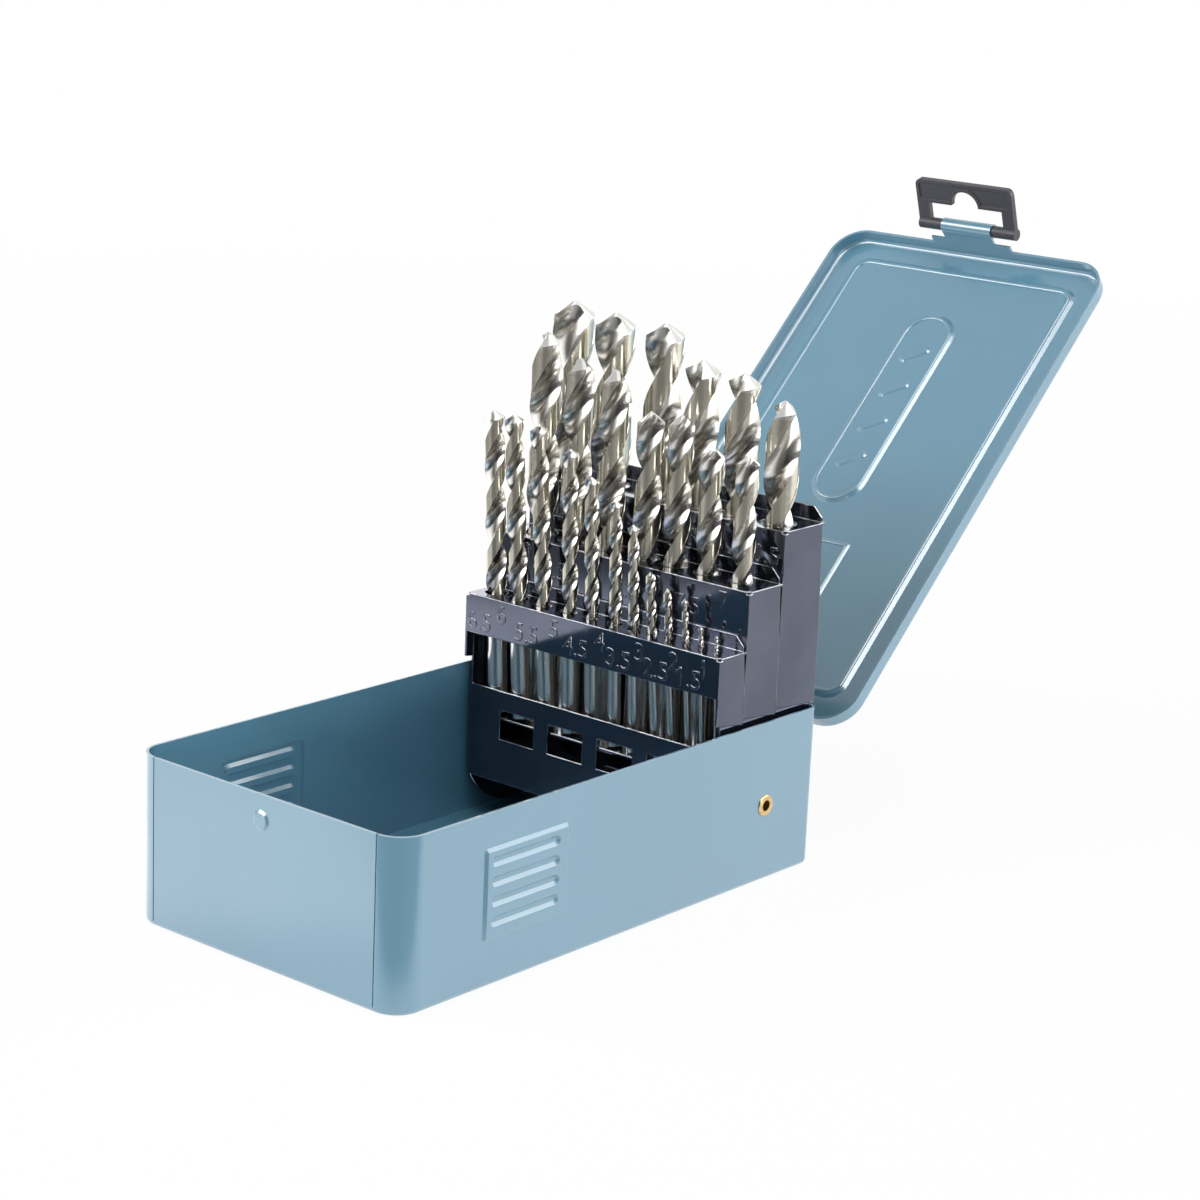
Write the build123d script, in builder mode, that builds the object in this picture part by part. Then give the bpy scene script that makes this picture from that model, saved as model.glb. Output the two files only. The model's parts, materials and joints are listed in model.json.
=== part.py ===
from build123d import *
import os
from math import cos, radians, sin, tan

# Hinged sheet-steel case for a set of twist drills, as it stands open on a table:
# a tray, a lid swung back on a rear hinge, a tilting three-tier rack and twenty-five drills.
# Origin: centre of the tray's bottom. +X to the right, +Y to the hinge end, +Z up. Millimetres.

# tray
case_width = 104.0
case_length = 180.0
case_height = 50.0
sheet = 0.8
front_corner = 8.8
rear_corner = 3.0
bottom_bend = 1.8

# front flap of the tray: it stands between two slits, with a tuck behind each edge
slit_width = 0.4
tuck_width = 13.0
tuck_drop = 0.6
catch_radius = 3.0
catch_height = 0.5
catch_taper = 60
catch_z = 42.6

# raised vent panel on both side walls, crossed by pressed grooves
vent_length = 34.0
vent_height = 26.5
vent_centre_y = -40.8
vent_centre_z = 26.8
vent_raise = 0.8
vent_corner = 1.0
vent_taper = 50
groove_count = 4
groove_length = 26.0
groove_width = 1.2
groove_pitch = 5.7
groove_shift_y = -0.9
groove_shift_z = 0.8

# rear hinge: knuckles in turn on the tray's leaf and the lid's leaf
hinge_y = 97.0
hinge_z = 43.1
open_angle = 136.5
pin_radius = 0.9
pin_head_radius = 1.5
pin_head_length = 0.5
hinge_bore = 0.95
knuckle_radius = 2.2
knuckle_count = 5
knuckle_pitch = 12.3
knuckle_length = 12.0
leaf_low = 30.0

# lid, measured from the hinge axis
lid_half_width = 53.8
lid_reach = 188.6
lid_back = -1.4
lid_top = 8.5
lid_depth = 5.5
lid_corner = 11.4
lid_bend = 2.2

# forms pressed into the lid: a wide panel, on it an oval and a plate for a label, and bars in the oval;
# start and end are distances from the lid's free end
form_taper = 55
panel_half_width = 44.6
panel_start = 8.2
panel_end = 177.0
panel_corner = 6.0
panel_raise = 0.8
oval_half_width = 10.2
oval_start = 28.0
oval_end = 108.5
oval_raise = 0.7
label_half_width = 17.8
label_start = 121.8
label_end = 166.0
label_corner = 0.8
label_raise = 0.45
bar_count = 4
bar_length = 11.0
bar_width = 3.4
bar_pitch = 15.0
bar_slant = 35.0
bar_raise = 0.5

# tongue and sleeve at the lid's free end
tongue_half_width = 15.7
tongue_step = 2.7
sleeve_half_width = 9.8
sleeve_radius = 2.45
sleeve_bore = 1.65
sleeve_drop = 12.6
sleeve_out = 1.6

# plastic hanger that swings in the sleeve
hanger_rod = 1.6
hanger_barrel = 2.0
hanger_half_width = 19.1
hanger_leg = 4.5
hanger_window = 8.0
hanger_height = 16.2
hanger_thickness = 2.0
hanger_border = 1.2
hanger_recess = 0.35
hanger_corner = 2.2
hanger_arch = 5.3
hanger_lean = 25.0
side_gap = 0.3

# rack pivots: tubular eyelets through the tray's side walls
pivot_y = 65.9
pivot_z = 24.0
eyelet_radius = 2.1
eyelet_bore = 1.7
eyelet_flange = 3.3
flange_thickness = 0.5
flange_round = 0.4
pivot_clearance = 0.08

# rack, folded from thinner sheet
rack_sheet = 0.7
rack_half_width = 50.0
lip_height = 4.5
lip_chamfer = 3.0
skirt_front = 52.6
skirt_rear = 50.8
wedge_width = 1.1
wedge_share = 0.54
corner_relief = 1.0
base_front = 45.4
base_rear = 88.4
base_low = 14.0
base_high = 43.6
base_rear_low = 27.0
base_top = 60.0
base_swing = 22.5
window_width = 14.0
window_low = 28.0
window_high = 37.5
window_pitch = 19.7
window_count = 4
tab_depth = 5.0

# tiers: front edge, rear edge, top of the shelf, depth of the front flange
tier_front = (42.9, 55.3, 73.0, 12.2)
tier_middle = (55.3, 71.0, 90.8, 20.0)
tier_back = (71.0, 90.2, 106.4, 18.0)

# steps that the shanks stand on: top of the step, front edge, rear edge
step_front = (34.7, 46.1, 55.8)
step_middle = (18.6, 55.0, 71.5)
step_back = (10.2, 70.7, 83.2)

# drills: diameter, length, x where it passes the shelf, and lean in degrees towards +X;
# the holes are loose, so the thin drills lean; the point's cone stops just short of its tip
stand_gap = 0.3
hole_clearance = 0.35
point_angle = 118.0
point_share = 0.98
shank_chamfer = 1.0
front_drills = (
    (6.5, 95.0, -43.6, -3.3),
    (6.0, 95.0, -34.4, -4.5),
    (5.5, 93.5, -24.1, -4.8),
    (5.0, 88.0, -13.5, -2.6),
    (4.5, 81.0, -4.8, -3.0),
    (4.0, 75.5, 4.4, -2.5),
    (3.5, 69.5, 11.6, -3.2),
    (3.0, 56.7, 18.8, -5.5),
    (2.5, 53.0, 25.1, -5.5),
    (2.0, 51.0, 31.6, -5.2),
    (1.5, 44.0, 37.3, -4.3),
    (1.0, 42.5, 43.1, -3.0),
)
middle_drills = (
    (10.0, 135.0, -38.8, 0.0),
    (9.5, 129.0, -25.3, 0.0),
    (9.0, 127.5, -11.4, 0.0),
    (8.5, 117.0, 3.1, 0.0),
    (8.0, 118.0, 14.8, 0.0),
    (7.5, 110.0, 27.0, 0.0),
    (7.0, 110.0, 40.1, 0.0),
)
back_drills = (
    (13.0, 151.5, -41.2, 0.0),
    (12.5, 150.0, -24.4, 0.0),
    (12.0, 149.5, -4.7, 0.0),
    (11.5, 140.5, 10.4, 0.0),
    (11.0, 139.0, 26.3, 0.0),
    (10.5, 133.0, 41.4, 0.4),
)
row_front = 49.7
row_middle = 64.1
row_back = 78.6

half_width = case_width / 2
half_length = case_length / 2
side_outer = rack_half_width - rack_sheet
side_inner = side_outer - rack_sheet
lid_angle = 180.0 - open_angle
lid_along = Vector(0, cos(radians(lid_angle)), sin(radians(lid_angle)))
lid_inward = Vector(0, -sin(radians(lid_angle)), cos(radians(lid_angle)))
hinge_line = Vector(0, hinge_y, hinge_z)
lid_length = lid_reach + lid_back

# plane of the lid's outer face: origin on its free end, local y to the free end, local z inwards
lid_plane = Plane(
    origin=hinge_line + lid_along * lid_reach - lid_inward * lid_top,
    x_dir=(1, 0, 0),
    z_dir=lid_inward,
)
sleeve_line = lid_plane.origin + lid_along * sleeve_out + lid_inward * sleeve_drop

os.makedirs("parts", exist_ok=True)


def save(part, name):
    """Label one finished piece and write it to its own STEP file."""
    part.label = name
    export_step(part, f"parts/{name}.step")


def tray_outline(inset):
    """Tray seen from above, inset from its outer face: wide front corners and tight rear ones."""
    with BuildSketch() as outline:
        Rectangle(case_width - 2 * inset, case_length - 2 * inset)
        fillet(outline.vertices().group_by(Axis.Y)[0], front_corner - inset)
        fillet(outline.vertices().group_by(Axis.Y)[-1], rear_corner - inset)
    return outline.sketch


def hollow_inset(taper):
    """How far the hollow behind a raised form lies inside it, so that the slopes stay as thick as the sheet."""
    return sheet * (1 - sin(radians(taper))) / cos(radians(taper))


def make_tray():
    """Folded tray with a front flap between slits, raised vents and a catch pip."""
    outer = tray_outline(0)
    inner = tray_outline(sheet)
    slit_x = half_width - front_corner
    with BuildPart() as tray:
        extrude(outer, amount=case_height)
        fillet(tray.edges().group_by(Axis.Z)[0], bottom_bend)
        extrude(Plane.XY.offset(sheet) * inner, amount=case_height, mode=Mode.SUBTRACT)
        # slits beside the front flap
        with BuildSketch(Plane.XZ.offset(half_length)):
            with Locations((slit_x, bottom_bend), (-slit_x, bottom_bend)):
                Rectangle(slit_width, case_height, align=(Align.CENTER, Align.MIN))
        extrude(amount=-sheet, mode=Mode.SUBTRACT)
        # tucks of the side walls behind the flap
        tuck_x = slit_x + 2 * sheet - tuck_width / 2
        with BuildSketch(Plane.XZ.offset(half_length - sheet)):
            with Locations((tuck_x, sheet), (-tuck_x, sheet)):
                Rectangle(tuck_width, case_height - sheet - tuck_drop, align=(Align.CENTER, Align.MIN))
        extrude(amount=-sheet)
        # catch pip, hollow behind
        with BuildSketch(Plane.XZ.offset(half_length)):
            with Locations((0, catch_z)):
                Circle(catch_radius)
        extrude(amount=catch_height, taper=catch_taper)
        with BuildSketch(Plane.XZ.offset(half_length - sheet)):
            with Locations((0, catch_z)):
                Circle(catch_radius - sheet)
        extrude(amount=catch_height, taper=catch_taper, mode=Mode.SUBTRACT)
        # vent panels: raised outside, hollow inside
        for side in (-1, 1):
            centre = (side * half_width, vent_centre_y, vent_centre_z)
            wall = Plane(origin=centre, x_dir=(0, side, 0), z_dir=(side, 0, 0))
            thinning = 2 * hollow_inset(vent_taper)
            for plane, inset, mode in ((wall, 0, Mode.ADD), (wall.offset(-sheet), thinning, Mode.SUBTRACT)):
                with BuildSketch(plane):
                    RectangleRounded(vent_length - inset, vent_height - inset, vent_corner)
                    with Locations((side * groove_shift_y, groove_shift_z)):
                        with GridLocations(0, groove_pitch, 1, groove_count):
                            SlotOverall(groove_length + inset, groove_width + inset, mode=Mode.SUBTRACT)
                extrude(amount=vent_raise, taper=vent_taper, mode=mode)
        # holes for the eyelets
        with BuildSketch(Plane.YZ.offset(-half_width)):
            with Locations((pivot_y, pivot_z)):
                Circle(eyelet_radius)
        extrude(amount=case_width, mode=Mode.SUBTRACT)
    return tray.part


def knuckle_centres(first):
    """X of every second knuckle, starting at the given one."""
    middle = (knuckle_count - 1) / 2
    return [(index - middle) * knuckle_pitch for index in range(first, knuckle_count, 2)]


def make_case_leaf():
    """Strip on the tray's rear wall, with arms that carry the outer and middle knuckles."""
    width = knuckle_count * knuckle_pitch
    with BuildPart() as leaf:
        with BuildSketch(Plane.YZ.offset(-width / 2)):
            with Locations((half_length, leaf_low)):
                Rectangle(sheet, hinge_z - knuckle_radius + sheet - leaf_low, align=Align.MIN)
        extrude(amount=width)
        for centre in knuckle_centres(0):
            with BuildSketch(Plane.YZ.offset(centre - knuckle_length / 2)):
                with Locations((half_length, hinge_z - knuckle_radius)):
                    Rectangle(hinge_y - half_length, sheet, align=Align.MIN)
                with Locations((hinge_y, hinge_z)):
                    Circle(knuckle_radius)
            extrude(amount=knuckle_length)
        with BuildSketch(Plane.YZ.offset(-width / 2)):
            with Locations((hinge_y, hinge_z)):
                Circle(pin_radius)
        extrude(amount=width, mode=Mode.SUBTRACT)
    return leaf.part


def make_pin():
    """Hinge pin, held by the tray's knuckles, with a swaged head at both ends."""
    width = knuckle_count * knuckle_pitch - (knuckle_pitch - knuckle_length)
    with BuildPart() as pin:
        with BuildSketch(Plane.YZ.offset(-width / 2)):
            with Locations((hinge_y, hinge_z)):
                Circle(pin_radius)
        extrude(amount=width)
        for end in (-1, 1):
            with BuildSketch(Plane.YZ.offset(end * width / 2)):
                with Locations((hinge_y, hinge_z)):
                    Circle(pin_head_radius)
            extrude(amount=end * pin_head_length)
    return pin.part


def panel_outline(plane, inset):
    """Wide panel that fills the lid inside its margin."""
    length = panel_end - panel_start - 2 * inset
    with BuildSketch(plane) as outline:
        with Locations((0, -(panel_start + panel_end) / 2)):
            RectangleRounded(2 * (panel_half_width - inset), length, panel_corner - inset)
    return outline.sketch


def oval_outline(plane, inset):
    """Long oval on the lid's middle line."""
    length = oval_end - oval_start - 2 * inset
    with BuildSketch(plane) as outline:
        with Locations((0, -(oval_start + oval_end) / 2)):
            SlotOverall(length, 2 * (oval_half_width - inset), rotation=90)
    return outline.sketch


def label_outline(plane, inset):
    """Plate for a label, below the oval."""
    length = label_end - label_start - 2 * inset
    with BuildSketch(plane) as outline:
        with Locations((0, -(label_start + label_end) / 2)):
            RectangleRounded(2 * (label_half_width - inset), length, label_corner)
    return outline.sketch


def bar_outlines(plane, inset):
    """Slanted bars in a row on the oval."""
    with BuildSketch(plane) as outline:
        with Locations((0, -(oval_start + oval_end) / 2)):
            with GridLocations(0, bar_pitch, 1, bar_count):
                SlotOverall(bar_length - 2 * inset, bar_width - 2 * inset, rotation=bar_slant)
    return outline.sketch


def make_lid():
    """Lid with a rim all round, pressed forms, and a tongue rolled into the hanger's sleeve."""
    with BuildPart() as lid:
        with BuildSketch(lid_plane):
            with Locations((0, -lid_length / 2)):
                RectangleRounded(2 * lid_half_width, lid_length, lid_corner)
        extrude(amount=lid_depth)
        outer_face = lid.faces().filter_by(lid_plane).sort_by(Axis.Y)[-1]
        fillet(outer_face.edges(), lid_bend)
        opening = lid.faces().filter_by(lid_plane).sort_by(Axis.Y)[0]
        offset(amount=-sheet, openings=opening)
        # pressed forms stand proud inside and are hollow outside
        panel_level = sheet + panel_raise
        oval_level = panel_level + oval_raise
        forms = (
            (panel_outline, sheet, panel_raise),
            (oval_outline, panel_level, oval_raise),
            (label_outline, panel_level, label_raise),
            (bar_outlines, oval_level, bar_raise),
        )
        inset = hollow_inset(form_taper)
        for outline, level, height in forms:
            extrude(outline(lid_plane.offset(level), 0), amount=height, taper=form_taper)
            hollow = outline(lid_plane.offset(level - sheet), inset)
            extrude(hollow, amount=height, taper=form_taper, mode=Mode.SUBTRACT)
        # tongue
        with BuildSketch(Plane(lid_plane.origin, x_dir=(1, 0, 0), z_dir=-lid_along)):
            with Locations((0, lid_depth - sheet)):
                Rectangle(2 * tongue_half_width, tongue_step + sheet, align=(Align.CENTER, Align.MIN))
                Rectangle(
                    2 * sleeve_half_width, sleeve_drop - lid_depth + sheet, align=(Align.CENTER, Align.MIN)
                )
        extrude(amount=sheet)
        # rolled sleeve
        with BuildSketch(Plane(sleeve_line - Vector(sleeve_half_width, 0, 0), z_dir=(1, 0, 0))):
            Circle(sleeve_radius)
        extrude(amount=2 * sleeve_half_width)
        with BuildSketch(Plane(sleeve_line - Vector(sleeve_half_width, 0, 0), z_dir=(1, 0, 0))):
            Circle(sleeve_bore)
        extrude(amount=2 * sleeve_half_width, mode=Mode.SUBTRACT)
    return lid.part


def make_lid_leaf():
    """Strip on the lid's rear wall, ending in the knuckles between the tray's."""
    width = knuckle_count * knuckle_pitch
    leaf_plane = Plane(hinge_line, x_dir=(1, 0, 0), z_dir=lid_inward)
    leaf_start = -lid_back - sheet
    with BuildPart() as leaf:
        with BuildSketch(leaf_plane.offset(lid_bend - lid_top)):
            with Locations((0, leaf_start)):
                Rectangle(width, sheet, align=(Align.CENTER, Align.MIN))
        extrude(amount=lid_top - lid_bend - knuckle_radius - side_gap)
        for centre in knuckle_centres(1):
            with BuildSketch(leaf_plane.offset(lid_bend - lid_top)):
                with Locations((centre, leaf_start)):
                    Rectangle(knuckle_length, sheet, align=(Align.CENTER, Align.MIN))
            extrude(amount=lid_top - lid_bend)
            with BuildSketch(Plane(hinge_line + Vector(centre - knuckle_length / 2, 0, 0), z_dir=(1, 0, 0))):
                Circle(knuckle_radius)
            extrude(amount=knuckle_length)
        with BuildSketch(Plane(hinge_line - Vector(width / 2, 0, 0), z_dir=(1, 0, 0))):
            Circle(hinge_bore)
        extrude(amount=width, mode=Mode.SUBTRACT)
    return leaf.part


def make_hanger():
    """Plastic hanger: a barrel with a thinner rod through the sleeve, two legs and a bar with an arch."""
    up = lid_inward * cos(radians(hanger_lean)) + lid_along * sin(radians(hanger_lean))
    plate = Plane(sleeve_line, x_dir=(1, 0, 0), z_dir=Vector(1, 0, 0).cross(up))
    inner_width = 2 * (hanger_half_width - hanger_leg)
    with BuildPart() as hanger:
        with BuildSketch(plate.offset(-hanger_thickness / 2)) as outline:
            Rectangle(2 * hanger_half_width, hanger_height, align=(Align.CENTER, Align.MIN))
            fillet(outline.vertices().group_by(Axis.Y)[-1], hanger_corner)
            Rectangle(inner_width, hanger_window, align=(Align.CENTER, Align.MIN), mode=Mode.SUBTRACT)
            with Locations((0, hanger_window)):
                Circle(hanger_arch, mode=Mode.SUBTRACT)
        extrude(amount=hanger_thickness)
        # shallow panels inside a raised border, on both faces
        bar_low = hanger_window + hanger_border
        bar_high = hanger_height - hanger_border
        for face, depth in ((hanger_thickness / 2, -hanger_recess), (-hanger_thickness / 2, hanger_recess)):
            with BuildSketch(plate.offset(face)):
                with Locations((0, (bar_low + bar_high) / 2)):
                    RectangleRounded(
                        2 * (hanger_half_width - hanger_border),
                        bar_high - bar_low,
                        hanger_corner - hanger_border,
                    )
                with Locations((0, hanger_window)):
                    Circle(hanger_arch + hanger_border, mode=Mode.SUBTRACT)
            extrude(amount=depth, mode=Mode.SUBTRACT)
        # barrels beside the sleeve and the rod through it
        for side in (-1, 1):
            barrel_start = side * (sleeve_half_width + side_gap)
            with BuildSketch(Plane(sleeve_line + Vector(barrel_start, 0, 0), z_dir=(side, 0, 0))):
                Circle(hanger_barrel)
            extrude(amount=hanger_half_width - sleeve_half_width - side_gap)
        with BuildSketch(Plane(sleeve_line - Vector(hanger_half_width, 0, 0), z_dir=(1, 0, 0))):
            Circle(hanger_rod)
        extrude(amount=2 * hanger_half_width)
    return hanger.part


def make_eyelet(side):
    """Tubular eyelet through one side wall; its inner flange keeps the rack on it."""
    inner_end = side_inner - side_gap - flange_thickness
    outer_end = half_width + flange_thickness
    with BuildPart() as eyelet:
        with BuildSketch(Plane((side * inner_end, pivot_y, pivot_z), x_dir=(0, 1, 0), z_dir=(side, 0, 0))):
            Circle(eyelet_radius)
        extrude(amount=outer_end - inner_end)
        for start in (inner_end, half_width):
            with BuildSketch(Plane((side * start, pivot_y, pivot_z), x_dir=(0, 1, 0), z_dir=(side, 0, 0))):
                Circle(eyelet_flange)
            extrude(amount=flange_thickness)
        outer_rim = eyelet.edges().filter_by(GeomType.CIRCLE).sort_by(Axis.X)
        rim = outer_rim[-1] if side > 0 else outer_rim[0]
        fillet(rim, flange_round)
        with BuildSketch(Plane((side * inner_end, pivot_y, pivot_z), x_dir=(0, 1, 0), z_dir=(side, 0, 0))):
            Circle(eyelet_bore)
        extrude(amount=outer_end - inner_end, mode=Mode.SUBTRACT)
    return eyelet.part


def make_tier(tier, drills, row_y):
    """One tier: a drilled shelf with a front flange, a rear lip and two skirts."""
    front, rear, top, flange = tier
    with BuildPart() as shelf:
        with BuildSketch(Plane.XY.offset(top)):
            with Locations((0, front)):
                Rectangle(2 * rack_half_width, rear - front, align=(Align.CENTER, Align.MIN))
        extrude(amount=-rack_sheet)
        with BuildSketch(Plane.XZ.offset(-front)):
            with Locations((0, top)):
                Rectangle(2 * rack_half_width, flange, align=(Align.CENTER, Align.MAX))
        extrude(amount=-rack_sheet)
        # rear lip with chamfered ends
        with BuildSketch(Plane.XZ.offset(-rear)) as lip:
            with Locations((0, top - rack_sheet)):
                Rectangle(2 * side_outer, lip_height + rack_sheet, align=(Align.CENTER, Align.MIN))
            chamfer(lip.vertices().group_by(Axis.Y)[-1], lip_chamfer)
        extrude(amount=rack_sheet)
        # skirts: a narrow wedge opens behind each, from the shelf halfway down
        wedge_end = top - wedge_share * (top - skirt_rear)
        for side in (-1, 1):
            inner_x = side_outer if side > 0 else -rack_half_width
            with BuildSketch(Plane.YZ.offset(inner_x)):
                with BuildLine():
                    Polyline(
                        (front, top),
                        (rear - wedge_width, top),
                        (rear, wedge_end),
                        (rear, skirt_rear),
                        (front, skirt_front),
                        close=True,
                    )
                make_face()
            extrude(amount=rack_sheet)
        # bend relief at the front corners
        with BuildSketch(Plane.XY.offset(top)):
            with Locations((rack_half_width - rack_sheet / 2, front + rack_sheet / 2)):
                Circle(corner_relief)
            with Locations((rack_sheet / 2 - rack_half_width, front + rack_sheet / 2)):
                Circle(corner_relief)
        extrude(amount=-rack_sheet, mode=Mode.SUBTRACT)
        # holes for the drills
        with BuildSketch(Plane.XY.offset(top)):
            for diameter, _, hole_x, _ in drills:
                with Locations((hole_x, row_y)):
                    Circle(diameter / 2 + hole_clearance)
        extrude(amount=-rack_sheet, mode=Mode.SUBTRACT)
    return shelf.part


def make_rack_base():
    """Lower body of the rack: two side plates on the pivots, a front panel with windows, a rear panel."""
    with BuildPart() as base:
        for side in (-1, 1):
            inner_x = side_inner if side > 0 else -side_outer
            with BuildSketch(Plane.YZ.offset(inner_x)):
                with Locations((pivot_y, pivot_z)):
                    Circle(base_swing)
                with BuildLine():
                    Polyline(
                        (base_front, base_low),
                        (base_front, base_top),
                        (base_rear, base_top),
                        (base_rear, pivot_z),
                        close=True,
                    )
                make_face()
                # the disc is kept between the front and the rear panel only
                with Locations((base_front, pivot_z)):
                    Rectangle(base_swing, 3 * base_swing, align=(Align.MAX, Align.CENTER), mode=Mode.SUBTRACT)
                with Locations((pivot_y, pivot_z)):
                    Circle(eyelet_radius + pivot_clearance, mode=Mode.SUBTRACT)
            extrude(amount=rack_sheet)
        with BuildSketch(Plane.XZ.offset(-base_front)):
            with Locations((0, base_low)):
                Rectangle(2 * side_outer, base_high - base_low, align=(Align.CENTER, Align.MIN))
            with Locations((0, (window_low + window_high) / 2)):
                with GridLocations(window_pitch, 0, window_count, 1):
                    Rectangle(window_width, window_high - window_low, mode=Mode.SUBTRACT)
        extrude(amount=-rack_sheet)
        # tabs bent inwards at the foot of the windows
        with BuildSketch(Plane.XY.offset(window_low - rack_sheet)):
            with Locations((0, base_front + tab_depth / 2)):
                with GridLocations(window_pitch, 0, window_count, 1):
                    Rectangle(window_width, tab_depth)
        extrude(amount=rack_sheet)
        with BuildSketch(Plane.XZ.offset(-base_rear)):
            with Locations((0, base_rear_low)):
                Rectangle(2 * side_outer, base_top - base_rear_low, align=(Align.CENTER, Align.MIN))
        extrude(amount=rack_sheet)
    return base.part


def make_drill_rest():
    """Stepped sheet between the side plates, on which the shanks of the three rows stand."""
    front_top, front_start, front_end = step_front
    middle_top, _, middle_end = step_middle
    back_top, _, back_end = step_back
    with BuildPart() as rest:
        with BuildSketch(Plane.YZ.offset(-side_inner)):
            with BuildLine():
                Polyline(
                    (front_start, front_top),
                    (front_end, front_top),
                    (front_end, middle_top),
                    (middle_end, middle_top),
                    (middle_end, back_top),
                    (back_end, back_top),
                    (back_end, back_top - rack_sheet),
                    (middle_end - rack_sheet, back_top - rack_sheet),
                    (middle_end - rack_sheet, middle_top - rack_sheet),
                    (front_end - rack_sheet, middle_top - rack_sheet),
                    (front_end - rack_sheet, front_top - rack_sheet),
                    (front_start, front_top - rack_sheet),
                    close=True,
                )
            make_face()
        extrude(amount=2 * side_inner)
    return rest.part


def make_drill(drill, row_y, shelf_top, step_top):
    """One drill standing in its hole: a round bar with a chamfered shank and a conical point."""
    diameter, length, shelf_x, lean = drill
    radius = diameter / 2
    foot_z = step_top + stand_gap + radius * sin(radians(abs(lean)))
    foot_x = shelf_x - (shelf_top - foot_z) * tan(radians(lean))
    cone = radius / tan(radians(point_angle / 2))
    end_break = min(shank_chamfer, radius / 3)
    axis = Vector(sin(radians(lean)), 0, cos(radians(lean)))
    with BuildPart() as bar:
        with BuildSketch(Plane((foot_x, row_y, foot_z), x_dir=(0, 1, 0), z_dir=axis)):
            Circle(radius)
        extrude(amount=length - cone)
        chamfer(bar.edges().filter_by(GeomType.CIRCLE).sort_by(Axis.Z)[0], end_break)
        tip_face = bar.faces().filter_by(GeomType.PLANE).sort_by(Axis.Z)[-1]
        with BuildSketch(Plane(tip_face)):
            Circle(radius)
        extrude(amount=cone * point_share, taper=point_angle / 2)
    return bar.part


save(make_tray(), "case_tray")
save(make_case_leaf(), "case_hinge_leaf")
save(make_pin(), "hinge_pin")
save(make_lid(), "lid")
save(make_lid_leaf(), "lid_hinge_leaf")
save(make_hanger(), "hanger")
save(make_eyelet(-1), "eyelet_left")
save(make_eyelet(1), "eyelet_right")
save(make_rack_base(), "rack_base")
save(make_drill_rest(), "drill_rest")
rows = (
    ("front", tier_front, front_drills, row_front, step_front),
    ("middle", tier_middle, middle_drills, row_middle, step_middle),
    ("back", tier_back, back_drills, row_back, step_back),
)
for row_name, tier, drills, row_y, step in rows:
    save(make_tier(tier, drills, row_y), f"rack_tier_{row_name}")
    for drill in drills:
        size_name = f"{drill[0]:.1f}".replace(".", "_")
        save(make_drill(drill, row_y, tier[2], step[0]), f"drill_{size_name}")
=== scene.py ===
"""Looks of an open drill bit case: painted tray and lid, blackened rack and bright twist drills."""
import json
from math import atan2, cos, degrees, pi, radians, sin, tan

import bpy
import numpy as np
from mathutils import Matrix, Vector


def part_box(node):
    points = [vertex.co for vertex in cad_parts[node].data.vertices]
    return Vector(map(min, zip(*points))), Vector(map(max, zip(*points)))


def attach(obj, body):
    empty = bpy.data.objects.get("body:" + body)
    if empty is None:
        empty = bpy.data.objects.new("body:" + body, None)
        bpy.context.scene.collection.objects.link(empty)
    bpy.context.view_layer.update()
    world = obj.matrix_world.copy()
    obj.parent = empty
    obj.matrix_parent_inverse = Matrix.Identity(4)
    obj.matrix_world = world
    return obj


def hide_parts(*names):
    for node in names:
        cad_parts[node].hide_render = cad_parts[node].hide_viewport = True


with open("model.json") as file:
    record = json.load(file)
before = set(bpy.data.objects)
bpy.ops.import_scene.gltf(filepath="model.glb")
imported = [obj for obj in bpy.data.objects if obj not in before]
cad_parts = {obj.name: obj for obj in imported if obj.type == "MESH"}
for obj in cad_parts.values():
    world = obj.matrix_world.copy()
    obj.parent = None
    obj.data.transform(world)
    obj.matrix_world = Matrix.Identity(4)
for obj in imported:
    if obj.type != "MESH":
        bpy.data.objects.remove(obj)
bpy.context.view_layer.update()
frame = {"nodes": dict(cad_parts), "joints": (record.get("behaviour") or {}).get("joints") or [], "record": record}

MM = 0.001
nodes = frame["nodes"]
joints = {joint["name"]: joint for joint in frame["joints"]}

# camera, fitted to the edges of the tray, rack and lid
CAMERA_AZIMUTH = 39.93
CAMERA_ELEVATION = 14.85
CAMERA_ROLL = 2.465
CAMERA_PLACE = (0.55884, -0.62012, 0.31070)
CAMERA_LENS = 90.4
CAMERA_SENSOR = 36.0
CAMERA_REACH = 50.0

# light: soft boxes round the object, the middle one just above the floor and the top one overhead;
# name, azimuth, elevation, width, height and power
LAMP_DISTANCE = 2.2
LAMP_TARGET = Vector((0.0, 0.0, 0.06))
LAMPS = (
    ("left", -35.0, 30.0, 2.4, 0.9, 43.0),
    ("middle", 68.0, 4.5, 1.6, 0.3, 10.0),
    ("right", 120.0, 17.0, 2.4, 0.9, 29.0),
    ("top", 60.0, 72.0, 1.5, 1.5, 20.0),
)
AMBIENT = 0.17

# floor: its own glow hides the lamps' falloff, less near the object, where the shadow shows
FLOOR_SIZE = 12.0
FLOOR_WHITE = (0.9, 0.9, 0.9, 1)
FLOOR_GLOW = 0.94
FLOOR_FADE = (0.5, 1.3)

# the floor as reflections find it: dark, bright and brightest tone; the azimuth towards which it rises to
# the brightest, and the azimuths towards which it falls dark, each with the distances between which it
# changes
FLOOR_TONES = (0.25, 1.22, 1.75)
FLOOR_RISE = (-40.0, 0.07, 0.13)
FLOOR_EDGES = (
    (CAMERA_AZIMUTH, 0.10, 0.14),
    (-40.0, 0.25, 0.30),
)

# a dark wall behind the camera, which only reflections show
WALL_RADIUS = 1.9
WALL_SPREAD = 42.0
WALL_TOP = 2.4
WALL_FOOT = 0.02
WALL_TONE = 0.035
WALL_PARTS = 12

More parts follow.
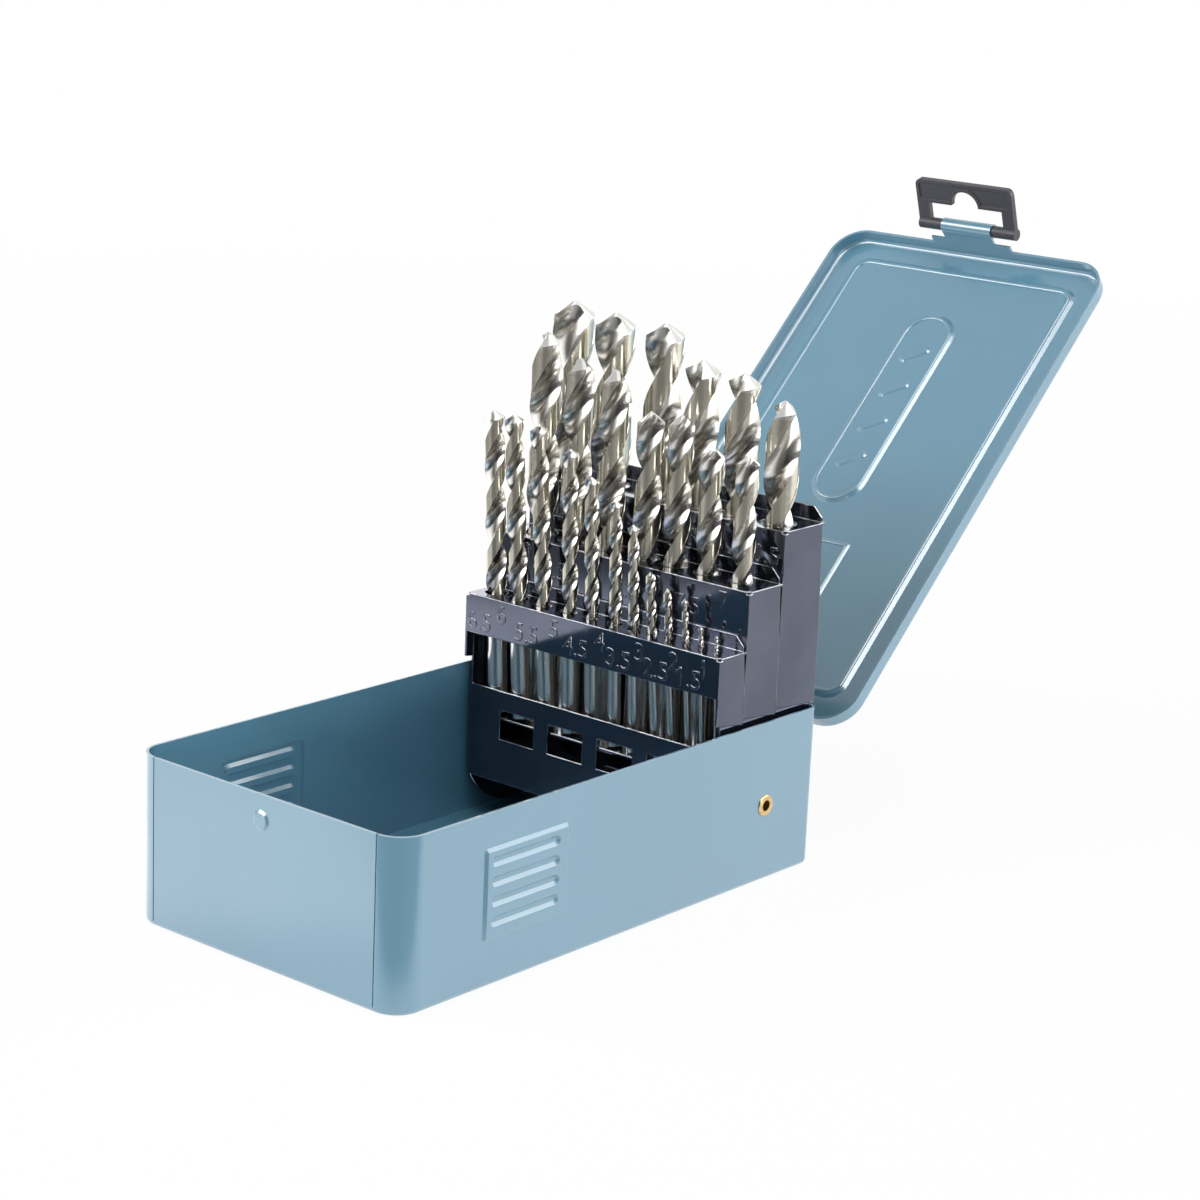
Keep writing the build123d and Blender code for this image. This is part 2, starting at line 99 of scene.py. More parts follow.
# glowing panels, which only reflections show; name, azimuth, elevation, distance, width, height and
# brightness
PANELS = (
    ("ceiling", -71.0, 54.0, 2.6, 3.4, 2.0, 0.62),
    ("left_rear", -120.0, 8.0, 2.4, 2.2, 0.9, 2.2),
    ("right_rear", 154.0, 34.0, 2.4, 1.3, 0.9, 3.2),
    ("overhead", 55.0, 60.0, 1.7, 0.9, 0.7, 7.0),
)

# paint: how strongly it and the gloss over it mirror the studio
PAINT_IOR = 1.6
GLOSS_IOR = 1.85

# colours: two tones that clouds, streaks or stains blend, and the tone of edges or hollows; the paint's edge tone
# is a painted highlight, the flutes' bottom tone is painted shade
PAINT_TONES = ((0.087, 0.226, 0.322, 1), (0.096, 0.246, 0.346, 1))
# the paint's edge tone: a painted highlight along rims and bends
PAINT_EDGE_HIGHLIGHT = (0.42, 0.58, 0.68, 1)
RACK_TONES = ((0.090, 0.101, 0.136, 1), (0.114, 0.126, 0.166, 1))
RACK_EDGE = (0.80, 0.80, 0.80, 1)
FLUTE_TONES = ((0.82, 0.81, 0.78, 1), (0.72, 0.71, 0.68, 1))
LAND_TONES = ((0.68, 0.65, 0.56, 1), (0.60, 0.57, 0.48, 1))
# the tone deep in the flutes: painted shade
FLUTE_PAINTED_SHADE = (0.30, 0.285, 0.255, 1)
BRASS_TONES = ((0.78, 0.56, 0.27, 1), (0.50, 0.34, 0.16, 1))
PIN_TONES = ((0.50, 0.50, 0.50, 1), (0.36, 0.36, 0.37, 1))
HANGER_TONES = ((0.030, 0.030, 0.038, 1), (0.040, 0.040, 0.049, 1))
HANGER_EDGE = (0.16, 0.16, 0.18, 1)

# the rack's stamped sizes, which clear the tray's bottom when the rack lies down: size, half depth, how
# far their middle stands before the flange, the feet of whole and half sizes below the shelf, and how far
# each tier's edge rises above its shelf
DIGIT_SIZE = 8.2 * MM
DIGIT_DEPTH = 0.08 * MM
DIGIT_PROUD = 0.01 * MM
DIGIT_HIGH = 7.1 * MM
DIGIT_LOW = 10.9 * MM
TIER_LIP = 4.5 * MM

# the lid's inner face: hinge axis, angle above the floor, distance from the axis to the free end, and to
# the outer face; all relief is measured from the free end and from the outer face
HINGE_PLACE = Vector((0.0, 97.0, 43.1)) * MM
LID_ANGLE = 43.5
LID_REACH = 188.6 * MM
LID_DROP = 8.5 * MM

# beads along the pressed forms: half width, start, end, corner, level, width and height, in millimetres
LID_BEADS = {
    "panel": (42.6, 10.2, 175.0, 4.6, 1.6, 1.5, 0.42),
    "oval": (8.5, 29.7, 106.8, 8.5, 2.3, 1.4, 0.42),
    "label": (16.6, 123.0, 164.8, 0.8, 2.05, 1.1, 0.35),
}
BEAD_ROOT = 0.3 * MM
BEAD_ARC = 7
CORNER_STEPS = 8

# twist drills: angles in degrees, lengths in shares of the drill's radius; the flutes' share of the
# whole length is the first FLUTE_SHARE less the second over the diameter in millimetres
HELIX_ANGLE = 30.0
LAND_ANGLE = 66.0
MARGIN_ANGLE = 9.0
MARGIN_STEP = 0.5
POINT_ANGLE = 118.0
FLUTE_SHARE = (0.68, 0.32)
FLUTE_PULL = Vector((0.03, 0.03, 0.0))
FLUTE_WEIGHT = 1.2
LAND_RELIEF = 0.03
LAND_LIMIT = 0.9
LIP_RELIEF = 0.28
SHOULDER_DROP = 1.4
RUNOUT = 2.4
SHANK_BREAK = 0.12
TIP_BLUNT = 0.06

# how finely the drills are divided, and how far each is turned, in radians per millimetre of diameter
FLUTE_POINTS = 17
LAND_POINTS = 8
RINGS_PER_LEAD = 40
LEAST_RINGS = 12
POINT_LEVELS = (1 / 3, 2 / 3, 1.0)
CAP_RINGS = (0.8, 0.55, 0.3, 0.12)
DRILL_TURN = 0.9


# --- materials --------------------------------------------------------------------------------

class Surface:
    """A principled material with small helpers for its nodes. Its coordinates are the part's own."""

    def __init__(self, name):
        self.material = bpy.data.materials.new(name)
        self.material.use_nodes = True
        self.tree = self.material.node_tree
        self.tree.nodes.clear()
        output = self.tree.nodes.new("ShaderNodeOutputMaterial")
        self.shader = self.tree.nodes.new("ShaderNodeBsdfPrincipled")
        self.tree.links.new(self.shader.outputs["BSDF"], output.inputs["Surface"])
        self.place = self.node("ShaderNodeTexCoord").outputs["Object"]

    def node(self, kind, inputs=None, **settings):
        made = self.tree.nodes.new(kind)
        for setting, value in settings.items():
            setattr(made, setting, value)
        for socket, value in (inputs or {}).items():
            self.put(made.inputs[socket], value)
        return made

    def put(self, socket, value):
        if isinstance(value, bpy.types.NodeSocket):
            self.tree.links.new(value, socket)
        else:
            socket.default_value = value

    def set(self, **values):
        for name, value in values.items():
            self.put(self.shader.inputs[name.replace("_", " ")], value)

    def stretched(self, scale):
        return self.node("ShaderNodeMapping", {"Vector": self.place, "Scale": scale}).outputs["Vector"]

    def noise(self, scale, detail=2.0, roughness=0.5, stretch=(1, 1, 1)):
        inputs = {"Vector": self.stretched(stretch), "Scale": scale, "Detail": detail, "Roughness": roughness}
        return self.node("ShaderNodeTexNoise", inputs).outputs["Fac"]

    def ramp(self, value, low, high, to_low=0.0, to_high=1.0):
        inputs = {"Value": value, "From Min": low, "From Max": high, "To Min": to_low, "To Max": to_high}
        return self.node("ShaderNodeMapRange", inputs).outputs["Result"]

    def blend(self, share, first, second):
        mix = self.node("ShaderNodeMix", data_type="RGBA")
        self.put(mix.inputs["Factor"], share)
        self.put(mix.inputs[6], first)
        self.put(mix.inputs[7], second)
        return mix.outputs[2]

    def math(self, operation, first, second=0.0):
        made = self.node("ShaderNodeMath", operation=operation)
        self.put(made.inputs[0], first)
        self.put(made.inputs[1], second)
        return made.outputs[0]

    def rounded(self, radius):
        return self.node("ShaderNodeBevel", {"Radius": radius}, samples=6).outputs["Normal"]

    def edge(self, radius, low, high):
        """1 along edges, 0 on flat faces."""
        flat = self.node("ShaderNodeNewGeometry").outputs["Normal"]
        dot = self.node("ShaderNodeVectorMath", operation="DOT_PRODUCT")
        self.put(dot.inputs[0], self.rounded(radius))
        self.put(dot.inputs[1], flat)
        return self.ramp(dot.outputs["Value"], high, low)

    def bump(self, height, distance, normal=None, strength=1.0):
        inputs = {"Height": height, "Distance": distance, "Strength": strength}
        if normal is not None:
            inputs["Normal"] = normal
        return self.node("ShaderNodeBump", inputs).outputs["Normal"]


def paint():
    """Deep blue enamel under a hard gloss, on sheet steel that is not quite flat, with a painted highlight along
    its edges.
    """
    surface = Surface("blue_paint")
    cloud = surface.noise(14.0, 3.0)
    tone = surface.blend(surface.ramp(cloud, 0.3, 0.7), *PAINT_TONES)
    # painted highlight: every edge and bend mixed towards a lighter blue
    edge = surface.edge(0.35 * MM, 0.80, 0.985)
    tone = surface.blend(surface.math("MULTIPLY", edge, 0.45), tone, PAINT_EDGE_HIGHLIGHT)
    waves = surface.noise(22.0, 1.0)
    normal = surface.bump(waves, 0.3 * MM, surface.rounded(0.3 * MM), 0.2)
    peel = surface.noise(850.0, 2.0)
    normal = surface.bump(peel, 0.02 * MM, normal, 0.25)
    rough = surface.ramp(surface.noise(60.0, 3.0), 0.3, 0.7, 0.30, 0.40)
    surface.set(Base_Color=tone, Roughness=rough, Normal=normal, IOR=PAINT_IOR)
    surface.set(Coat_Weight=1.0, Coat_Roughness=0.09, Coat_IOR=GLOSS_IOR)
    return surface.material


def blackened_steel():
    """Glossy blue-black oxide on folded sheet, with faint drawing streaks and bright worn edges."""
    surface = Surface("rack_black")
    streak = surface.noise(420.0, 3.0, 0.6, (1, 1, 0.03))
    cloud = surface.noise(45.0, 3.0)
    tone = surface.blend(surface.ramp(cloud, 0.35, 0.65), *RACK_TONES)
    edge = surface.edge(0.45 * MM, 0.72, 0.97)
    worn = surface.math("MULTIPLY", edge, surface.ramp(surface.noise(160.0, 4.0), 0.30, 0.52))
    tone = surface.blend(worn, tone, RACK_EDGE)
    rough = surface.ramp(streak, 0.3, 0.8, 0.06, 0.11)
    normal = surface.bump(surface.noise(30.0, 1.0), 0.3 * MM, surface.rounded(0.45 * MM), 0.1)
    normal = surface.bump(surface.noise(500.0, 2.0), 0.02 * MM, normal, 0.15)
    surface.set(Base_Color=tone, Metallic=0.95, Roughness=rough, Normal=normal)
    return surface.material


def drill_steel():
    """High-speed steel: bright flutes, darkened by painted shade where they are deep, duller and a little brown on
    the lands.
    The drills stand almost upright, so one tangent, the axis of the thickest, stretches all highlights."""
    surface = Surface("drill_steel")
    stain = surface.ramp(surface.noise(90.0, 3.0), 0.35, 0.7)
    bright = surface.blend(stain, *FLUTE_TONES)
    dull = surface.blend(stain, *LAND_TONES)
    land = surface.node("ShaderNodeAttribute", attribute_name="land").outputs["Fac"]
    depth = surface.node("ShaderNodeAttribute", attribute_name="depth").outputs["Fac"]
    tone = surface.blend(land, bright, dull)
    # painted shade: the flutes darken towards their bottom, by the depth marked on their points
    tone = surface.blend(surface.ramp(depth, 0.25, 0.70), tone, FLUTE_PAINTED_SHADE)
    lines = surface.noise(260.0, 3.0, 0.5, (1, 1, 6))
    rough = surface.ramp(lines, 0.3, 0.7, 0.20, 0.24)
    axis = surface.node("ShaderNodeVectorTransform", vector_type="VECTOR")
    axis.convert_from = "OBJECT"
    axis.convert_to = "WORLD"
    axis.inputs["Vector"].default_value = joints["drill_13_0_pull"]["axis"]
    surface.set(Base_Color=tone, Metallic=1.0, Roughness=rough)
    surface.set(Anisotropic=0.6, Tangent=axis.outputs["Vector"])
    return surface.material


def brass():
    """Plain brass of the eyelets, a little tarnished."""
    surface = Surface("eyelet_brass")
    stain = surface.noise(700.0, 3.0)
    tone = surface.blend(surface.ramp(stain, 0.35, 0.7), *BRASS_TONES)
    normal = surface.bump(stain, 0.02 * MM, surface.rounded(0.15 * MM), 0.3)
    surface.set(Base_Color=tone, Metallic=1.0, Roughness=0.28, Normal=normal)
    return surface.material


def plain_steel():
    """Drawn steel of the hinge pin."""
    surface = Surface("pin_steel")
    lines = surface.noise(500.0, 3.0, 0.6, (0.05, 1, 1))
    tone = surface.blend(surface.ramp(lines, 0.3, 0.7), *PIN_TONES)
    surface.set(Base_Color=tone, Metallic=1.0, Roughness=surface.ramp(lines, 0.3, 0.7, 0.25, 0.4))
    return surface.material


def hanger_plastic():
    """Dark grey moulded plastic with a fine satin grain."""
    surface = Surface("hanger_plastic")
    cloud = surface.noise(90.0, 3.0)
    tone = surface.blend(surface.ramp(cloud, 0.3, 0.7), *HANGER_TONES)
    edge = surface.edge(0.3 * MM, 0.80, 0.985)
    tone = surface.blend(surface.math("MULTIPLY", edge, 0.3), tone, HANGER_EDGE)
    grain = surface.noise(1400.0, 2.0)
    normal = surface.bump(grain, 0.03 * MM, surface.rounded(0.25 * MM), 0.4)
    surface.set(Base_Color=tone, Roughness=surface.ramp(cloud, 0.3, 0.7, 0.38, 0.5), Normal=normal)
    return surface.material


# --- pieces -----------------------------------------------------------------------------------

def mesh_piece(name, vertices, faces, material, smooth_angle=35.0):
    mesh = bpy.data.meshes.new(name)
    mesh.from_pydata(vertices, [], faces)
    mesh.validate()
    mesh.polygons.foreach_set("use_smooth", [True] * len(mesh.polygons))
    mesh.set_sharp_from_angle(angle=radians(smooth_angle))
    mesh.materials.append(material)
    piece = bpy.data.objects.new(name, mesh)
    bpy.context.scene.collection.objects.link(piece)
    return piece


def flute_section():
    """A drill's section, radius 1, starting behind a heel: (angle, distance, degrees behind its lip)."""
    half = []
    for index in range(LAND_POINTS):
        angle = -LAND_ANGLE + (LAND_ANGLE - MARGIN_ANGLE) * index / (LAND_POINTS - 1)
        half.append((radians(angle), 1 - LAND_RELIEF, -angle))
    for angle in (MARGIN_STEP - MARGIN_ANGLE, -MARGIN_ANGLE / 2, 0.0):
        half.append((radians(angle), 1.0, -angle))
    start = Vector((1, 0, 0))
    heel = radians(180 - LAND_ANGLE)
    end = Vector((cos(heel), sin(heel), 0)) * (1 - LAND_RELIEF)
    for index in range(1, FLUTE_POINTS):
        t = index / FLUTE_POINTS
        weights = ((1 - t) ** 2, 2 * FLUTE_WEIGHT * t * (1 - t), t ** 2)
        point = (start * weights[0] + FLUTE_PULL * weights[1] + end * weights[2]) / sum(weights)
        angle = atan2(point.y, point.x)
        half.append((angle, point.length, LAND_ANGLE * degrees(angle) / (180 - LAND_ANGLE)))
    return half + [(angle + pi, radius, behind) for angle, radius, behind in half]


def tube_faces(rings, count):
    """Faces of a tube of rings, closed by two points that follow them: the foot's and the tip's."""
    faces = []
    for low in range(0, (rings - 1) * count, count):
        for index in range(count):
            following = (index + 1) % count
            high = low + count
            faces.append((low + index, low + following, high + following, high + index))
    last = (rings - 1) * count
    bottom = rings * count
    for index in range(count):
        following = (index + 1) % count
        faces.append((bottom, following, index))
        faces.append((last + index, last + following, bottom + 1))
    return faces


def mark_points(piece, name, values):
    """Stores a number at each point of a piece, for its material to read; the last points get 0."""
    attribute = piece.data.attributes.new(name, "FLOAT", "POINT")
    rest = [0.0] * (len(piece.data.vertices) - len(values))
    attribute.data.foreach_set("value", values + rest)


def drill_piece(name, material):
    """One twist drill in the place of its CAD bar: shank, flutes that run out, margins and a ground point."""
    points = np.array([vertex.co for vertex in nodes[name].data.vertices])
    axis = Vector(joints[name + "_pull"]["axis"]).normalized()
    along = points @ np.array(axis)
    length = along.max() - along.min()
    apex = Vector(points[along > along.max() - 1e-5].mean(axis=0))
    foot = apex - axis * length
    diameter = float(name.split("_", 1)[1].replace("_", "."))
    radius = diameter / 2 * MM
    lead = pi * 2 * radius / tan(radians(HELIX_ANGLE))
    flute_length = length * (FLUTE_SHARE[0] - FLUTE_SHARE[1] / diameter)
    flute_start = length - flute_length
    cone = 1 / tan(radians(POINT_ANGLE / 2))
    shoulder = length - radius * cone - radius * LIP_RELIEF * SHOULDER_DROP
    section = flute_section()

    def turned(angle, share, height):
        turn = diameter * DRILL_TURN + 2 * pi * max(height - flute_start, 0) / lead
        return Vector((cos(angle + turn) * share * radius, sin(angle + turn) * share * radius, height))

    # shank
    vertices = []
    for height, share in ((0.0, 1 - SHANK_BREAK), (SHANK_BREAK * radius, 1.0), (flute_start, 1.0)):
        vertices += [turned(angle, share, height) for angle, _, _ in section]
    shank_count = len(vertices)
    # flutes, which grow out of the shank
    steps = max(int((shoulder - flute_start) / lead * RINGS_PER_LEAD), LEAST_RINGS)
    for step in range(1, steps + 1):
        height = flute_start + (shoulder - flute_start) * step / steps
        depth = min((height - flute_start) / (RUNOUT * radius), 1.0)
        for angle, share, _ in section:
            if share == 1:
                reach = 1.0
            elif share > LAND_LIMIT:
                reach = 1 - LAND_RELIEF * depth
            else:
                reach = max(share, (1 - depth) ** 2)
            vertices.append(turned(angle, reach, height))
    fluted = vertices[shank_count:]
    # point: up to the lips' slope, then along it to the tip
    tops = [length - (cone + LIP_RELIEF * radians(behind)) * share * radius for _, share, behind in section]
    for level in POINT_LEVELS:
        for (angle, share, _), top in zip(section, tops):
            vertices.append(turned(angle, share, shoulder + (top - shoulder) * level))
    for scale in CAP_RINGS:
        for (angle, share, _), top in zip(section, tops):
            edge = turned(angle, share, top)
            vertices.append(Vector((edge.x * scale, edge.y * scale, length - (length - top) * scale)))
    rings = len(vertices) // len(section)
    vertices.append(Vector((0, 0, 0)))
    vertices.append(Vector((0, 0, length - TIP_BLUNT * radius)))
    turn = Vector((0, 0, 1)).rotation_difference(axis).to_matrix().to_4x4()
    place = Matrix.Translation(foot) @ turn
    faces = tube_faces(rings, len(section))
    piece = mesh_piece("twist_" + name, [place @ vertex for vertex in vertices], faces, material)
    on_land = [1.0 if share > LAND_LIMIT else 0.0 for _, share, _ in section]
    mark_points(piece, "land", [0.0] * shank_count + on_land * steps)
    # how deep each point lies in a flute, for the steel's painted shade
    mark_points(piece, "depth", [0.0] * shank_count + [1 - point.xy.length / radius for point in fluted])
    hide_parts(name)
    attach(piece, name)


def lid_point(across, start, level):
    """A place on the lid: distance to the right, from its free end and above its outer face."""
    slope = radians(LID_ANGLE)
    along = Vector((0, cos(slope), sin(slope)))
    inward = Vector((0, -sin(slope), cos(slope)))
    return HINGE_PLACE + along * (LID_REACH - start) + inward * (level - LID_DROP) + Vector((across, 0, 0))


def rounded_frame(half_width, start, end, corner):
    """Points round a rectangle with round corners, each with its outward direction."""
    stations = []
    centres = ((1, end - corner), (-1, end - corner), (-1, start + corner), (1, start + corner))
    for quarter, (side, middle) in enumerate(centres):
        for step in range(CORNER_STEPS + 1):
            angle = pi / 2 * (quarter + step / CORNER_STEPS)
            outward = (cos(angle), sin(angle))
            place = (side * (half_width - corner) + outward[0] * corner, middle + outward[1] * corner)
            stations.append((place, outward))
    return stations


def bead_piece(name, measures, material):
    """A round-topped bead along one of the lid's pressed forms."""
    half_width, start, end, corner, level, width, height = [measure * MM for measure in measures]
    arc = [pi * step / (BEAD_ARC - 1) for step in range(BEAD_ARC)]
    profile = [(cos(angle) * width / 2, sin(angle) * height) for angle in arc]
    profile += [(-width / 2, -BEAD_ROOT), (width / 2, -BEAD_ROOT)]
    vertices = []
    for place, outward in rounded_frame(half_width, start, end, corner):
        for shift, rise in profile:
            across = place[0] + outward[0] * shift
            along = place[1] + outward[1] * shift
            vertices.append(lid_point(across, along, level + rise))
    count = len(profile)
    total = len(vertices)
    faces = []
    for first in range(0, total, count):
        for index in range(count):
            following = (index + 1) % count
            near = (first + count) % total
            faces.append((first + index, first + following, near + following, near + index))
    piece = mesh_piece("bead_" + name, vertices, faces, material)
    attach(piece, "lid")


def digit_piece(text, centre, material):
    """A size number stamped on a flange that faces the front."""
    curve = bpy.data.curves.new("stamp_" + text.replace(".", "_"), "FONT")
    curve.body = text
    curve.size = DIGIT_SIZE
    curve.align_x = "CENTER"
    curve.extrude = DIGIT_DEPTH
    curve.bevel_depth = DIGIT_DEPTH
    curve.bevel_resolution = 2
    curve.resolution_u = 3
    holder = bpy.data.objects.new(curve.name, curve)
    mesh = bpy.data.meshes.new_from_object(holder)
    bpy.data.objects.remove(holder)
    mesh.transform(Matrix.Translation(centre) @ Matrix.Rotation(radians(90), 4, "X"))
    mesh.materials.append(material)
    piece = bpy.data.objects.new("stamp_" + text.replace(".", "_"), mesh)
    bpy.context.scene.collection.objects.link(piece)
    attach(piece, "rack")


def stamp_sizes(rows, material):
    """Every drill's size on the flange before it, whole sizes higher than half ones."""
    for row, names in rows.items():
        low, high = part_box("rack_tier_" + row)
        shelf = high.z - TIER_LIP
        for name in names:
            size = name.split("_", 1)[1].replace("_", ".")
            whole = size.endswith(".0")
            text = size[:-2] if whole else size
            box_low, box_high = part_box(name)
            middle = (box_low.x + box_high.x) / 2
            foot = shelf - (DIGIT_HIGH if whole else DIGIT_LOW)
            digit_piece(text, Vector((middle, low.y - DIGIT_PROUD, foot)), material)


def drill_rows():
    """Names of the drills of each row, told apart by the row's y."""
    rows = {"front": [], "middle": [], "back": []}
    for name in sorted(nodes):
        if not name.startswith("drill_") or name == "drill_rest":
            continue
        low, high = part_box(name)
        middle = (low.y + high.y) / 2
        for row in rows:
            tier_low, tier_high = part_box("rack_tier_" + row)
            if tier_low.y < middle < tier_high.y:
                rows[row].append(name)
    return rows


# --- stage ------------------------------------------------------------------------------------

def add_camera():
    azimuth = radians(CAMERA_AZIMUTH)
    elevation = radians(CAMERA_ELEVATION)
    roll = radians(CAMERA_ROLL)
    back = Vector((sin(azimuth) * cos(elevation), -cos(azimuth) * cos(elevation), sin(elevation)))
    level = Vector((cos(azimuth), sin(azimuth), 0))
    upright = back.cross(level)
    right = level * cos(roll) + upright * sin(roll)
    up = upright * cos(roll) - level * sin(roll)
    camera = bpy.data.objects.new("camera", bpy.data.cameras.new("camera"))
    camera.data.lens = CAMERA_LENS
    camera.data.sensor_width = CAMERA_SENSOR
    camera.data.clip_end = CAMERA_REACH
    rotation = Matrix((right, up, back)).transposed().to_4x4()
    camera.matrix_world = Matrix.Translation(CAMERA_PLACE) @ rotation
    bpy.context.scene.collection.objects.link(camera)
    bpy.context.scene.camera = camera


def around(azimuth, elevation, distance):
    """A place as seen from the object: azimuth from -Y towards +X, elevation above the floor."""
    turn = radians(azimuth)
    rise = radians(elevation)
    return Vector((sin(turn) * cos(rise), -cos(turn) * cos(rise), sin(rise))) * distance


def add_lamp(name, azimuth, elevation, width, height, power):
    lamp = bpy.data.lights.new(name, "AREA")
    lamp.shape = "RECTANGLE"
    lamp.size = width
    lamp.size_y = height
    lamp.energy = power
    holder = bpy.data.objects.new(name, lamp)
    holder.location = around(azimuth, elevation, LAMP_DISTANCE)
    aim = LAMP_TARGET - holder.location
    holder.rotation_euler = aim.to_track_quat("-Z", "Y").to_euler()
    bpy.context.scene.collection.objects.link(holder)


def seen_directly(tree):
    """1 for camera, glossy and transmission rays, 0 for the rays that light the object."""
    path = tree.nodes.new("ShaderNodeLightPath")
    first = tree.nodes.new("ShaderNodeMath")
    first.operation = "MAXIMUM"
    tree.links.new(path.outputs["Is Camera Ray"], first.inputs[0])
    tree.links.new(path.outputs["Is Glossy Ray"], first.inputs[1])
    second = tree.nodes.new("ShaderNodeMath")
    second.operation = "MAXIMUM"
    tree.links.new(first.outputs[0], second.inputs[0])
    tree.links.new(path.outputs["Is Transmission Ray"], second.inputs[1])
    return second.outputs[0]


def add_world():
    world = bpy.data.worlds.new("studio")
    world.use_nodes = True
    tree = world.node_tree
    background = tree.nodes["Background"]
    background.inputs["Color"].default_value = (1, 1, 1, 1)
    strength = tree.nodes.new("ShaderNodeMapRange")
    tree.links.new(seen_directly(tree), strength.inputs["Value"])
    strength.inputs["To Min"].default_value = AMBIENT
    strength.inputs["To Max"].default_value = 1.0
    tree.links.new(strength.outputs["Result"], background.inputs["Strength"])
    bpy.context.scene.world = world


def mirrored_floor(tree):
    """Strength of the floor's glow: 1 to the camera, and to reflections the tones set above."""
    place = tree.nodes.new("ShaderNodeTexCoord").outputs["Object"]

    def across(azimuth, near, far, low, high):
        """Goes from low to high between two distances from the object's middle, towards an azimuth."""
        forward = tree.nodes.new("ShaderNodeVectorMath")
        forward.operation = "DOT_PRODUCT"
        tree.links.new(place, forward.inputs[0])
        forward.inputs[1].default_value = around(azimuth, 0.0, 1.0)
        change = tree.nodes.new("ShaderNodeMapRange")
        change.interpolation_type = "SMOOTHSTEP"
        tree.links.new(forward.outputs["Value"], change.inputs["Value"])
        for socket, value in (("From Min", near), ("From Max", far), ("To Min", low), ("To Max", high)):
            change.inputs[socket].default_value = value
        return change.outputs["Result"]

    dark, bright, brightest = FLOOR_TONES
    glow = across(*FLOOR_RISE, bright - dark, brightest - dark)
    for edge in FLOOR_EDGES:
        both = tree.nodes.new("ShaderNodeMath")
        both.operation = "MULTIPLY"
        tree.links.new(glow, both.inputs[0])
        tree.links.new(across(*edge, 1.0, 0.0), both.inputs[1])
        glow = both.outputs[0]
    least = tree.nodes.new("ShaderNodeMath")
    tree.links.new(glow, least.inputs[0])
    least.inputs[1].default_value = dark
    path = tree.nodes.new("ShaderNodeLightPath")
    strength = tree.nodes.new("ShaderNodeMix")
    tree.links.new(path.outputs["Is Camera Ray"], strength.inputs["Factor"])
    tree.links.new(least.outputs[0], strength.inputs[2])
    strength.inputs[3].default_value = 1.0
    return strength.outputs[0]


def glow_share(tree):
    """How much of the floor's look is its glow: less near the object, where it shows the shadow."""
    distance = tree.nodes.new("ShaderNodeVectorMath")
    distance.operation = "LENGTH"
    tree.links.new(tree.nodes.new("ShaderNodeTexCoord").outputs["Object"], distance.inputs[0])
    fade = tree.nodes.new("ShaderNodeMapRange")
    tree.links.new(distance.outputs["Value"], fade.inputs["Value"])
    near, far = FLOOR_FADE
    for socket, value in (("From Min", near), ("From Max", far), ("To Min", FLOOR_GLOW), ("To Max", 1.0)):
        fade.inputs[socket].default_value = value
    return fade.outputs["Result"]


def add_floor():
    half = FLOOR_SIZE / 2
    mesh = bpy.data.meshes.new("floor")
    corners = [(-half, -half, 0), (half, -half, 0), (half, half, 0), (-half, half, 0)]
    mesh.from_pydata(corners, [], [(0, 1, 2, 3)])
    floor = bpy.data.objects.new("floor", mesh)
    bpy.context.scene.collection.objects.link(floor)
    material = bpy.data.materials.new("floor")
    material.use_nodes = True
    tree = material.node_tree
    tree.nodes.clear()
    matt = tree.nodes.new("ShaderNodeBsdfDiffuse")
    matt.inputs["Color"].default_value = FLOOR_WHITE
    glow = tree.nodes.new("ShaderNodeEmission")
    tree.links.new(mirrored_floor(tree), glow.inputs["Strength"])
    mix = tree.nodes.new("ShaderNodeMixShader")
    share = tree.nodes.new("ShaderNodeMath")
    share.operation = "MULTIPLY"
    tree.links.new(seen_directly(tree), share.inputs[0])
    tree.links.new(glow_share(tree), share.inputs[1])
    tree.links.new(share.outputs[0], mix.inputs[0])
    tree.links.new(matt.outputs[0], mix.inputs[1])
    tree.links.new(glow.outputs[0], mix.inputs[2])
    output = tree.nodes.new("ShaderNodeOutputMaterial")
    tree.links.new(mix.outputs[0], output.inputs["Surface"])
    mesh.materials.append(material)


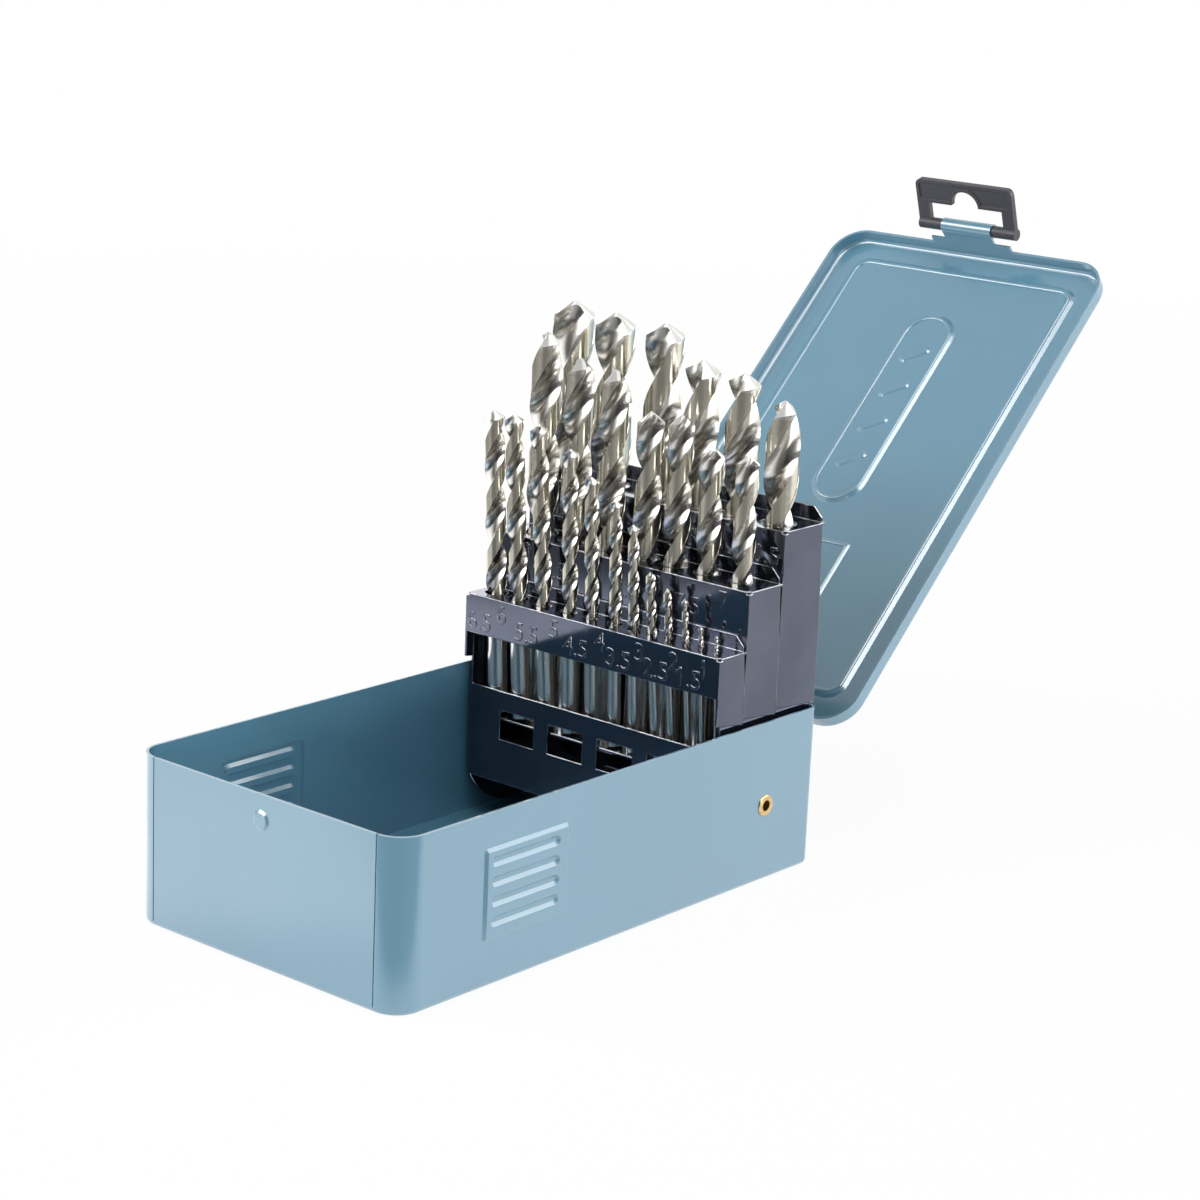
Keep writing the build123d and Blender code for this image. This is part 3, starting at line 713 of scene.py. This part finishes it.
def add_reflector(name, vertices, faces, glow):
    """A part of the studio that only reflections show, with its own even brightness."""
    mesh = bpy.data.meshes.new(name)
    mesh.from_pydata(vertices, [], faces)
    reflector = bpy.data.objects.new(name, mesh)
    bpy.context.scene.collection.objects.link(reflector)
    material = bpy.data.materials.new(name)
    material.use_nodes = True
    tree = material.node_tree
    tree.nodes.clear()
    light = tree.nodes.new("ShaderNodeEmission")
    light.inputs["Strength"].default_value = glow
    output = tree.nodes.new("ShaderNodeOutputMaterial")
    tree.links.new(light.outputs[0], output.inputs["Surface"])
    mesh.materials.append(material)
    reflector.visible_camera = False
    reflector.visible_diffuse = False
    reflector.visible_shadow = False


def add_panel(name, azimuth, elevation, distance, width, height, glow):
    centre = around(azimuth, elevation, distance)
    level = around(azimuth + 90, 0.0, 1.0) * width / 2
    upright = around(azimuth, elevation + 90, 1.0) * height / 2
    left = centre - level
    right = centre + level
    corners = [left - upright, right - upright, right + upright, left + upright]
    add_reflector(name, corners, [(0, 1, 2, 3)], glow)


def add_dark_wall():
    """Unlit side of the studio behind the camera: it gives bright metal its dark tones."""
    vertices = []
    for step in range(WALL_PARTS + 1):
        azimuth = CAMERA_AZIMUTH + WALL_SPREAD * (2 * step / WALL_PARTS - 1)
        foot = around(azimuth, 0.0, WALL_RADIUS)
        vertices.append((foot.x, foot.y, WALL_FOOT))
        vertices.append((foot.x, foot.y, WALL_TOP))
    faces = [(2 * step, 2 * step + 2, 2 * step + 3, 2 * step + 1) for step in range(WALL_PARTS)]
    add_reflector("dark_wall", vertices, faces, WALL_TONE)


# --- making -----------------------------------------------------------------------------------

add_camera()
add_world()
add_floor()
add_dark_wall()
for panel in PANELS:
    add_panel(*panel)
for lamp in LAMPS:
    add_lamp(*lamp)
bpy.context.scene.view_settings.view_transform = "Standard"

finishes = {
    "blue_paint": paint(),
    "rack_black": blackened_steel(),
    "drill_steel": drill_steel(),
    "pin_steel": plain_steel(),
    "eyelet_brass": brass(),
    "hanger_plastic": hanger_plastic(),
}
for subpart in frame["record"]["subparts"]:
    node = nodes[subpart["node"]]
    for slot in node.material_slots:
        slot.material = finishes[subpart["material_slot"]]

drills = drill_rows()
for row_names in drills.values():
    for drill_name in row_names:
        drill_piece(drill_name, finishes["drill_steel"])
stamp_sizes(drills, finishes["rack_black"])
for bead_name, bead_measures in LID_BEADS.items():
    bead_piece(bead_name, bead_measures, finishes["blue_paint"])
